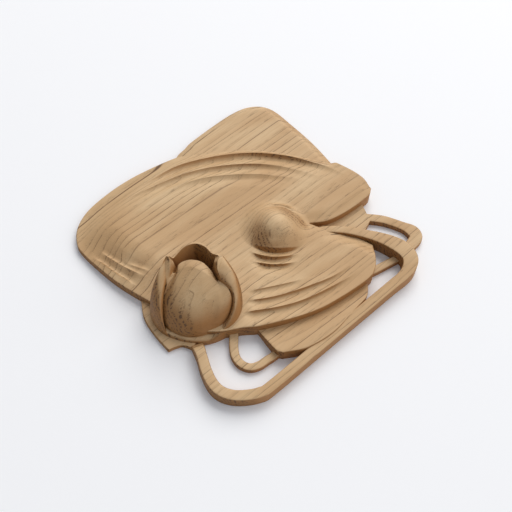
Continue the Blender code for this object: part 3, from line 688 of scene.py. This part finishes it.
@dataclass(frozen=True)
class Bud:
    """The bud: a ball in a leaning cup, on an oval foot. The cup's edge falls to a low collar in front.

    Each station is a foot angle in degrees, the cup's edge, then the outer and the inner edge of the
    rim, each as (x, y, z), and for the cup's flank and for the climb from its edge to the rim, the
    fullness and how far the surface has turned over at the end, in degrees.
    """

    foot_centre: tuple[float, float] = (17.0, 40.5)
    foot_long: float = 15.8
    foot_short: float = 13.0
    lean: float = math.radians(50)
    hollow_floor: float = 10.0
    hollow_share: float = 0.75
    lip_crown: float = 0.15
    columns_between: int = 11
    flank_rings: int = 26
    climb_rings: int = 22
    lip_rings: int = 7
    stations: tuple[tuple, ...] = (
        (-172, (5.2, 45.3, 5.0), (15.4, 48.9, 16.9), (15.8, 49.4, 16.9), 2.6, 78, 2.1, 56),
        (-160, (4.5, 41.0, 3.4), (16.4, 48.5, 18.0), (17.9, 50.2, 18.3), 2.6, 78, 2.1, 50),
        (-147, (5.7, 36.7, 3.0), (18.5, 47.6, 18.6), (20.1, 49.8, 18.8), 2.6, 78, 2.1, 46),
        (-133, (8.1, 33.3, 3.0), (20.3, 46.1, 18.8), (22.4, 48.3, 19.0), 2.6, 78, 2.1, 46),
        (-121, (11.4, 31.1, 3.0), (22.1, 42.6, 18.4), (24.5, 45.5, 18.4), 2.6, 78, 2.1, 48),
        (-110, (15.1, 29.7, 3.2), (23.3, 39.2, 16.9), (25.0, 41.7, 17.0), 2.6, 78, 2.1, 54),
        (-100, (18.5, 29.0, 5.0), (24.0, 37.9, 16.0), (24.8, 39.5, 16.0), 2.8, 80, 2.2, 70),
        (-89, (21.6, 29.1, 7.4), (24.2, 37.6, 15.8), (24.7, 39.0, 15.6), 3.0, 82, 2.2, 72),
        (-79, (23.7, 30.1, 9.8), (24.4, 37.4, 15.8), (24.75, 38.65, 15.4), 3.2, 84, 2.2, 74),
        (-68, (25.0, 31.3, 12.0), (24.6, 37.3, 15.8), (24.85, 38.45, 15.4), 3.6, 84, 2.2, 76),
        (-58, (25.8, 33.5, 14.0), (24.8, 37.3, 15.9), (25.0, 38.4, 15.5), 3.8, 84, 2.2, 78),
        (-48, (25.3, 35.5, 15.8), (25.0, 37.5, 16.2), (25.15, 38.5, 15.9), 4.0, 82, 2.2, 80),
        (-40, (25.3, 37.4, 17.6), (25.2, 38.1, 17.8), (25.4, 39.1, 17.2), 4.0, 80, 2.0, 80),
        (-30, (26.2, 39.3, 19.4), (25.9, 39.7, 19.6), (26.0, 40.9, 18.6), 4.2, 78, 2.0, 80),
        (-20, (28.5, 40.6, 20.4), (27.4, 41.2, 20.6), (26.9, 42.5, 19.4), 4.2, 76, 2.0, 80),
        (-6, (30.4, 42.3, 20.4), (29.3, 42.8, 20.6), (28.7, 44.1, 19.4), 3.6, 66, 2.0, 80),
        (14, (29.4, 45.7, 19.6), (28.6, 45.6, 19.8), (28.1, 46.0, 19.0), 2.4, 62, 2.0, 80),
        (40, (29.1, 49.8, 19.6), (28.5, 49.3, 19.8), (28.2, 49.4, 19.0), 2.2, 62, 2.0, 80),
        (64, (27.4, 52.9, 19.6), (26.8, 52.3, 19.8), (26.6, 52.2, 19.0), 2.0, 62, 2.0, 80),
        (92, (23.5, 54.5, 19.4), (23.1, 53.7, 19.6), (23.1, 53.2, 18.8), 2.0, 62, 2.0, 80),
        (120, (18.2, 53.7, 18.6), (18.2, 53.1, 18.8), (18.7, 53.0, 18.0), 2.4, 62, 2.0, 80),
        (140, (16.4, 54.2, 20.8), (16.6, 53.5, 21.0), (17.1, 53.3, 20.2), 2.6, 66, 2.0, 80),
        (152, (15.1, 53.7, 20.0), (15.9, 52.4, 20.1), (16.9, 51.3, 18.8), 2.6, 70, 2.0, 80),
        (162, (13.3, 51.5, 18.2), (14.4, 50.5, 18.3), (15.8, 50.4, 17.4), 2.5, 74, 2.0, 80),
        (170, (11.6, 49.2, 16.0), (13.5, 49.3, 16.6), (15.2, 49.9, 16.9), 2.4, 76, 2.0, 80),
        (177, (9.5, 47.8, 12.2), (14.3, 49.0, 16.6), (15.1, 49.6, 16.8), 2.4, 78, 2.1, 76),
        (183, (7.1, 46.7, 8.4), (14.9, 48.9, 16.7), (15.3, 49.35, 16.8), 2.5, 78, 2.1, 70),
    )

    def columns(self) -> np.ndarray:
        """The stations and the columns between them, as one closed run.

        Returns:
            A row of values for each column, in the order that a station has.
        """
        knots = np.array([[angle, *edge, *outer, *inner, *bends] for angle, edge, outer, inner, *bends in
                          self.stations], dtype=float)
        full_circle = np.zeros(knots.shape[1])
        full_circle[0] = 360
        lead_in, lead_out = knots[-2:] - full_circle, knots[:3] + full_circle
        run = catmull_rom(np.vstack([lead_in, knots, lead_out]), self.columns_between)
        first = len(lead_in) * self.columns_between
        return run[first:first + len(knots) * self.columns_between]

    def mesh(self) -> Mesh:
        """Rings up the cup's flank, on to the rim, over its lip and down to the floor of the hollow.

        The lip goes across by half of one less the cosine of its turn, with a crown by the sine.

        Returns:
            The bud as a closed mesh.
        """
        degrees, edge, outer, inner, bends = np.split(self.columns(), (1, 4, 7, 10), axis=1)
        flank_full, flank_turn, climb_full, climb_turn = bends.T
        flank = Bend(flank_full, np.radians(flank_turn))
        climb = Bend(climb_full, np.radians(climb_turn))
        angle = np.radians(degrees[:, 0])
        turned = angle - self.lean
        oval = 1 / np.hypot(np.cos(turned) / self.foot_short, np.sin(turned) / self.foot_long)
        foot = np.column_stack([self.foot_centre[0] + oval * np.cos(angle),
                                self.foot_centre[1] + oval * np.sin(angle), np.zeros(len(angle))])
        over = np.linspace(0, math.pi, self.lip_rings + 2)[1:, None]
        share = (1 - np.cos(over)) / 2
        lip = outer + share[:, :, None] * (inner - outer)
        lip[:, :, 2] += self.lip_crown * np.sin(over) * (1 - share)
        middle = inner.mean(axis=0)
        well = middle + self.hollow_share * (inner - middle)
        well[:, 2] = self.hollow_floor
        rings = np.concatenate([foot[None], flank.rings(foot, edge, self.flank_rings),
                                climb.rings(edge, outer, self.climb_rings), lip, well[None]])
        points = rings.reshape(-1, 3)
        return to_metres(points[:, :2], points[:, 2]), tube_faces(len(rings), len(angle))


def put_in_scene(name: str, data: bpy.types.ID) -> bpy.types.Object:
    """Puts a mesh, a lamp or a camera in the scene.

    Args:
        name: The object's name.
        data: What it shows.

    Returns:
        The object, at the origin.
    """
    placed = bpy.data.objects.new(name, data)
    bpy.context.scene.collection.objects.link(placed)
    return placed


def linear(hex_colour: str) -> tuple[float, float, float, float]:
    """An sRGB hex colour as linear red, green, blue and a full alpha."""
    parts = [int(hex_colour[i:i + 2], 16) / 255 for i in (1, 3, 5)]
    return tuple(c / 12.92 if c <= 0.04045 else ((c + 0.055) / 1.055) ** 2.4 for c in parts) + (1.0,)


def add_node(tree: bpy.types.NodeTree, kind: str, settings: dict | None = None,
             inputs: dict | None = None) -> bpy.types.Node:
    """Adds a node to a tree.

    Args:
        tree: The tree that gets the node.
        kind: The node's type name, without the ShaderNode in front.
        settings: The node's own settings by name.
        inputs: For each input socket its constant value, or the output socket that feeds it, or a node
            whose first output feeds it.

    Returns:
        The node.
    """
    node = tree.nodes.new(f"ShaderNode{kind}")
    for name, value in (settings or {}).items():
        setattr(node, name, value)
    for socket, source in (inputs or {}).items():
        if isinstance(source, bpy.types.Node):
            source = source.outputs[0]
        if isinstance(source, bpy.types.NodeSocket):
            tree.links.new(source, node.inputs[socket])
        else:
            node.inputs[socket].default_value = source
    return node


def plain_tree(name: str) -> tuple[bpy.types.Material, bpy.types.NodeTree]:
    """Makes a material to build on.

    Args:
        name: The material's name.

    Returns:
        The material and its empty node tree.
    """
    material = bpy.data.materials.new(name)
    material.use_nodes = True
    material.node_tree.nodes.clear()
    return material, material.node_tree


class Mark(Enum):
    """The marks that noise makes in the wood."""

    WANDER = "wander"
    UNEVEN_RINGS = "uneven rings"
    STREAK = "streak"
    PORE = "pore"
    END_PORE = "end pore"
    FIBRE = "fibre"
    CLOUD = "cloud"


@dataclass(frozen=True)
class Noise:
    """One noise pattern, drawn out along the grain.

    Its cells have a size along the grain and across it, in millimetres. The part of the noise from low to
    high counts, and is eased from the start value to the end value.
    """

    along: float
    across: float
    detail: float = 1.0
    low: float = 0.0
    high: float = 1.0
    start: float = 0.0
    end: float = 1.0


@dataclass(frozen=True)
class RoutedOak:
    """Bare white oak, routed and lightly sanded: an open-pored wood with no varnish.

    The wood is solid: ring surfaces run along X and lean across the board, so the carving cuts them
    into straight lines on level ground, curves on the boss, and dots where the fibres end. Walls and
    other steep cuts get painted shade: a darker, browner colour than the level ground.
    """

    name: str = "oak_routed"
    pale: str = "#D5B68B"
    tan: str = "#C29C6E"
    line: str = "#6C4B28"
    pore: str = "#573B1F"
    # Painted shade: the darker, browner colour laid on walls and steep cuts by how steeply they face.
    steep_shade: str = "#A56F36"
    end: str = "#8C602C"
    # The lean of the rings and their mean width, in millimetres.
    ring_lean: float = math.radians(42)
    ring_width: float = 2.2
    # Where a ring's dark line starts and is full, as shares of a ring from its boundary.
    line_from: float = 0.085
    line_full: float = 0.02
    # The same for a row of dots where the fibres end.
    row_from: float = 0.16
    row_full: float = 0.06
    # The sine of the angle at which a surface crosses the rings, where lines start to show, and show in full.
    crossing_from: float = 0.42
    crossing_full: float = 0.7
    # The normal's height where the painted shade on steep cuts starts, and where it is darkest.
    steep_shade_from: float = 0.88
    steep_shade_full: float = 0.45
    # The normal's share along the grain where the fibres' ends start to show, and where they show in full.
    ends_from: float = 0.36
    ends_full: float = 0.7
    # The share of ring lines that are weakest, and their strength.
    weak_lines: float = 0.2
    weak_strength: float = 0.2
    # The early part of a ring, where pores crowd, and the share of them that its late part still has.
    early_part: float = 0.5
    late_pores: float = 0.15
    dot_rows: int = 2
    # How strongly each layer of colour shows at most over the ones before it.
    cloud_most: float = 1.0
    fibre_most: float = 0.5
    early_most: float = 0.12
    line_most: float = 1.0
    pore_most: float = 0.4
    steep_shade_most: float = 0.85
    end_most: float = 0.7
    dot_most: float = 0.9
    # The relief: how high fibres stand, in millimetres, how deep pores and lines go by that measure, and
    # how strongly the whole shows.
    fibre_height: float = 0.04
    pore_depth: float = 2.8
    line_depth: float = 1.4
    relief_strength: float = 0.5
    roughness: float = 0.62
    ior: float = 1.5
    noise_roughness: float = 0.55
    marks: tuple[tuple[Mark, Noise], ...] = (
        (Mark.WANDER, Noise(70, 24, start=-1.4, end=1.4)),
        (Mark.UNEVEN_RINGS, Noise(400, 9, start=-1.3, end=1.3)),
        (Mark.STREAK, Noise(50, 2.2, 2.0, 0.35, 0.5)),
        (Mark.PORE, Noise(3.6, 0.24, 0.0, 0.62, 0.72)),
        (Mark.END_PORE, Noise(4, 0.48, 0.0, 0.46, 0.57)),
        (Mark.FIBRE, Noise(12, 0.4, 3.0, 0.35, 0.75)),
        (Mark.CLOUD, Noise(45, 12, 2.0, 0.3, 0.7)),
    )

    def noises(self, tree: bpy.types.NodeTree,
               point: bpy.types.NodeSocket) -> dict[Mark, bpy.types.Node]:
        """Makes every noise pattern.

        Args:
            tree: The material's tree.
            point: The point in the piece's own coordinates, in metres.

        Returns:
            For each mark, the node whose first output is its pattern.
        """
        made = {}
        for mark, noise in self.marks:
            scale = (1 / (noise.along * MM), 1 / (noise.across * MM), 1 / (noise.across * MM))
            placed = add_node(tree, "Mapping", inputs={"Vector": point, "Scale": scale})
            raw = add_node(tree, "TexNoise", inputs={
                "Vector": placed, "Scale": 1.0, "Detail": noise.detail, "Roughness": self.noise_roughness})
            made[mark] = add_node(tree, "MapRange", {"interpolation_type": "SMOOTHSTEP"}, {
                "Value": raw.outputs["Fac"], "From Min": noise.low, "From Max": noise.high,
                "To Min": noise.start, "To Max": noise.end})
        return made

    def material(self) -> bpy.types.Material:
        """Rings, pores and fibres on Object coordinates, worked out in millimetres.

        Returns:
            The material.
        """
        material, tree = plain_tree(self.name)
        eased = {"interpolation_type": "SMOOTHSTEP"}
        times = {"operation": "MULTIPLY"}
        point = add_node(tree, "TexCoord").outputs["Object"]
        marks = self.noises(tree, point)

        # How far out a point lies across the leaning rings, and which ring it is in.
        leaning = add_node(tree, "Mapping", inputs={
            "Vector": point, "Rotation": (self.ring_lean, 0, 0), "Scale": (1 / MM, 1 / MM, 1 / MM)})
        outward = add_node(tree, "SeparateXYZ", inputs={0: leaning}).outputs["Y"]
        outward = add_node(tree, "Math", {"operation": "ADD"}, {0: outward, 1: marks[Mark.WANDER]})
        rings = add_node(tree, "Math", {"operation": "MULTIPLY_ADD"},
                         {0: outward, 1: 1 / self.ring_width, 2: marks[Mark.UNEVEN_RINGS]})
        number = add_node(tree, "Math", {"operation": "ROUND"}, {0: rings})
        age = add_node(tree, "Math", {"operation": "FRACT"}, {0: rings})
        boundary = add_node(tree, "Math", {"operation": "PINGPONG"}, {0: rings, 1: 0.5})

        # Which way the surface faces: level or steep, for the painted shade on steep cuts, and along the
        # fibres or across their ends.
        normal = add_node(tree, "NewGeometry").outputs["Normal"]
        facing = add_node(tree, "SeparateXYZ", inputs={0: normal})
        # Painted shade on steep cuts, darker as the normal's height falls.
        steep_shade = add_node(tree, "MapRange", eased, {
            "Value": facing.outputs["Z"], "From Min": self.steep_shade_from, "From Max": self.steep_shade_full})
        along = add_node(tree, "Math", {"operation": "ABSOLUTE"}, {0: facing.outputs["X"]})
        ends = add_node(tree, "MapRange", eased, {
            "Value": along, "From Min": self.ends_from, "From Max": self.ends_full})
        sides = add_node(tree, "Math", {"operation": "SUBTRACT"}, {0: 1.0, 1: ends})

        # The more a surface runs along the rings, the wider their lines would spread, so the distance to
        # a boundary is divided by the sine of the angle between the normal and the way out of the rings.
        out_of_rings = (0, math.cos(self.ring_lean), -math.sin(self.ring_lean))
        across = add_node(tree, "VectorMath", {"operation": "CROSS_PRODUCT"}, {0: normal, 1: out_of_rings})
        sine = add_node(tree, "VectorMath", {"operation": "LENGTH"}, {0: across}).outputs["Value"]
        boundary = add_node(tree, "Math", {"operation": "DIVIDE"}, {0: boundary, 1: sine})

        # The dark line between two rings comes and goes along the grain, and some lines are stronger. It
        # fades where the surface runs along the rings, and where the fibres end.
        line = add_node(tree, "MapRange", eased, {
            "Value": boundary, "From Min": self.line_from, "From Max": self.line_full})
        chance = add_node(tree, "TexWhiteNoise", {"noise_dimensions": "1D"}, {"W": number})
        strength = add_node(tree, "MapRange", eased, {
            "Value": chance, "From Min": self.weak_lines, "To Min": self.weak_strength})
        crossing = add_node(tree, "MapRange", eased, {
            "Value": sine, "From Min": self.crossing_from, "From Max": self.crossing_full})
        for share in (strength, marks[Mark.STREAK], sides, crossing):
            line = add_node(tree, "Math", times, {0: line, 1: share})

        # Pores crowd the early part of each ring.
        early = add_node(tree, "MapRange", eased, {
            "Value": age, "From Max": self.early_part, "To Min": 1.0, "To Max": self.late_pores})
        pores = add_node(tree, "Math", times, {0: marks[Mark.PORE], 1: early})

        # Where the fibres end, they show as rows of dots.
        row = add_node(tree, "Math", {"operation": "PINGPONG"}, {0: rings, 1: 0.5 / self.dot_rows})
        near_row = add_node(tree, "MapRange", eased, {
            "Value": row, "From Min": self.row_from, "From Max": self.row_full})
        dots = marks[Mark.END_PORE]
        for share in (near_row, ends):
            dots = add_node(tree, "Math", times, {0: dots, 1: share})

        # Each layer of colour lies over the ones before it; the layer for steep cuts is painted shade.
        layers = (
            (marks[Mark.CLOUD], self.tan, self.cloud_most), (marks[Mark.FIBRE], self.tan, self.fibre_most),
            (early, self.line, self.early_most), (line, self.line, self.line_most),
            (pores, self.pore, self.pore_most), (steep_shade, self.steep_shade, self.steep_shade_most),
            (ends, self.end, self.end_most), (dots, self.pore, self.dot_most),
        )
        colour = linear(self.pale)
        for share, over, most in layers:
            part = add_node(tree, "Math", times, {0: share, 1: most})
            colour = add_node(tree, "Mix", {"data_type": "RGBA"}, {
                0: part, MIX_UNDER: colour, MIX_OVER: linear(over)}).outputs[MIX_RESULT]

        # Pores and lines are open, and the fibres stand up a little.
        relief = marks[Mark.FIBRE]
        for mark, depth in ((pores, self.pore_depth), (line, self.line_depth)):
            relief = add_node(tree, "Math", {"operation": "MULTIPLY_ADD"}, {0: mark, 1: -depth, 2: relief})
        bump = add_node(tree, "Bump", inputs={
            "Height": relief, "Strength": self.relief_strength, "Distance": self.fibre_height * MM})
        shader = add_node(tree, "BsdfPrincipled", inputs={
            "Base Color": colour, "Normal": bump, "Roughness": self.roughness, "IOR": self.ior})
        add_node(tree, "OutputMaterial", inputs={"Surface": shader})
        return material


@dataclass(frozen=True)
class PaintedTable:
    """Matt pale paint on the table that the carving lies on."""

    name: str = "table_paint"
    colour: str = "#F9FAFC"
    roughness: float = 0.7

    def material(self) -> bpy.types.Material:
        """A plain shader."""
        material, tree = plain_tree(self.name)
        shader = add_node(tree, "BsdfPrincipled", inputs={
            "Base Color": linear(self.colour), "Roughness": self.roughness})
        add_node(tree, "OutputMaterial", inputs={"Surface": shader})
        return material


@dataclass
class Rosette:
    """The carving: the pad with every other layer joined to it, as one piece."""

    pad: Pad
    lower_layers: tuple[Relief, ...]
    stems: tuple[Stem, ...]
    bud: Bud
    finish: RoutedOak
    piece_name: str = "oak_carving"
    node: str = "carved_rosette"
    slot: str = "oak"
    body: str = "root"

    @staticmethod
    def solid(name: str, mesh: Mesh) -> bpy.types.Object:
        """Puts a mesh in the scene, at the origin.

        Args:
            name: The object's name.
            mesh: Its corners and faces.

        Returns:
            The object.
        """
        corners, faces = mesh
        made = bpy.data.meshes.new(name)
        made.from_pydata(corners, [], faces)
        made.update()
        return put_in_scene(name, made)

    def carve(self) -> bpy.types.Object:
        """Joins every layer to the pad.

        Returns:
            The one piece.
        """
        piece = self.solid(self.piece_name, self.pad.mesh())
        tools = []
        for layer in (*self.lower_layers, *self.stems, self.bud):
            tool = self.solid(f"layer_{len(tools)}", layer.mesh())
            boolean = piece.modifiers.new(tool.name, "BOOLEAN")
            boolean.operation = "UNION"
            boolean.solver = "MANIFOLD"
            boolean.object = tool
            tools.append(tool)
        graph = bpy.context.evaluated_depsgraph_get()
        carved = bpy.data.meshes.new_from_object(piece.evaluated_get(graph))
        piece.modifiers.clear()
        piece.data = carved
        for tool in tools:
            bpy.data.objects.remove(tool)
        return piece

    def build(self) -> bpy.types.Object:
        """Carves the piece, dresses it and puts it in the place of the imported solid.

        Returns:
            The piece.
        """
        piece = self.carve()
        piece.data.materials.clear()
        piece.data.materials.append(self.finish.material())
        piece.data.shade_smooth()
        piece.data.set_sharp_from_angle(angle=SHARP_ANGLE)
        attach(piece, self.body)
        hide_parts(self.node)
        LOG.info("%s: %d faces", piece.name, len(piece.data.polygons))
        return piece


@dataclass(frozen=True)
class SoftLamp:
    """A square soft lamp that faces the origin. Its size and distance are in metres."""

    name: str
    power: float
    azimuth: float
    elevation: float
    size: float = 2.1
    distance: float = 2.6
    colour: str = "#FFFCF8"

    def place(self) -> bpy.types.Object:
        """Hangs the lamp in the scene.

        Returns:
            The lamp's object.
        """
        lamp = bpy.data.lights.new(self.name, "AREA")
        lamp.energy = self.power
        lamp.size = self.size
        lamp.color = linear(self.colour)[:3]
        flat = math.cos(self.elevation)
        toward = Vector((flat * math.cos(self.azimuth), flat * math.sin(self.azimuth),
                         math.sin(self.elevation)))
        holder = put_in_scene(self.name, lamp)
        holder.location = toward * self.distance
        holder.rotation_euler = toward.to_track_quat("Z", "Y").to_euler()
        return holder


@dataclass
class Studio:
    """A pale table under soft light from the far side and some from the right, and the photo's camera."""

    floor_finish: PaintedTable
    # The table's side, in metres, and how far it lies below the carving, in millimetres.
    floor_size: float = 3.0
    floor_gap: float = 0.05
    sky: str = "#F1F5FD"
    sky_strength: float = 0.44
    lamps: tuple[SoftLamp, ...] = (
        SoftLamp("window", 55.0, math.radians(30), math.radians(42)),
        SoftLamp("side_window", 16.0, math.radians(-42), math.radians(34)),
    )
    # The camera: the plan point that it looks at, its distance in millimetres, and where it stands.
    aim: tuple[float, float] = (48.115, 44.157)
    distance: float = 309.239
    azimuth: float = math.radians(-45.373)
    elevation: float = math.radians(56.929)
    roll: float = math.radians(3.527)
    lens: float = 60.19
    sensor: float = 36.0
    # The nearest thing that it sees, in metres.
    clip_start: float = 0.01

    def floor(self) -> bpy.types.Object:
        """A square sheet just below the back of the carving.

        Returns:
            The table.
        """
        half = self.floor_size / 2
        corners = [(-half, -half), (half, -half), (half, half), (-half, half)]
        sheet = bpy.data.meshes.new("table")
        sheet.from_pydata([(x, y, -self.floor_gap * MM) for x, y in corners], [], [(0, 1, 2, 3)])
        sheet.materials.append(self.floor_finish.material())
        table = put_in_scene("table", sheet)
        return table

    def light(self) -> None:
        """The sky's even light, and the lamps."""
        world = bpy.data.worlds.new("daylight")
        world.use_nodes = True
        world.node_tree.nodes["Background"].inputs["Color"].default_value = linear(self.sky)
        world.node_tree.nodes["Background"].inputs["Strength"].default_value = self.sky_strength
        bpy.context.scene.world = world
        bpy.context.scene.view_settings.view_transform = "Standard"
        for lamp in self.lamps:
            lamp.place()

    def camera(self) -> bpy.types.Object:
        """Stands the camera back along its line of sight from the aim, rolled about that line.

        Returns:
            The camera.
        """
        flat = math.cos(self.elevation)
        back = Vector((math.sin(self.azimuth) * flat, -math.cos(self.azimuth) * flat,
                       math.sin(self.elevation)))
        level = (-back).cross(Vector((0, 0, 1))).normalized()
        upright = level.cross(-back)
        right = level * math.cos(self.roll) + upright * math.sin(self.roll)
        up = upright * math.cos(self.roll) - level * math.sin(self.roll)
        aim = Vector(to_metres(np.array([self.aim]), 0.0)[0])
        turned = Matrix((right, up, back)).transposed().to_4x4()
        data = bpy.data.cameras.new("view")
        data.sensor_width = self.sensor
        data.lens = self.lens
        data.clip_start = self.clip_start
        camera = put_in_scene("view", data)
        camera.matrix_world = Matrix.Translation(aim + back * self.distance * MM) @ turned
        bpy.context.scene.camera = camera
        return camera

    def build(self) -> None:
        """The camera, the table and the light."""
        self.camera()
        self.floor()
        self.light()


def main() -> None:
    """Builds the studio and the carving in place of any lamp or camera that is there."""
    logging.basicConfig(level=logging.INFO, format="%(name)s: %(message)s")
    for old in [item for item in bpy.data.objects if item.type in ("LIGHT", "CAMERA")]:
        bpy.data.objects.remove(old)
    Studio(PaintedTable()).build()
    Rosette(Pad(), (BackLeaf(), LowerLeaf(), LeafTip()), (BIG_STEM, THIN_STEM), Bud(), RoutedOak()).build()


if __name__ == "__main__":
    main()
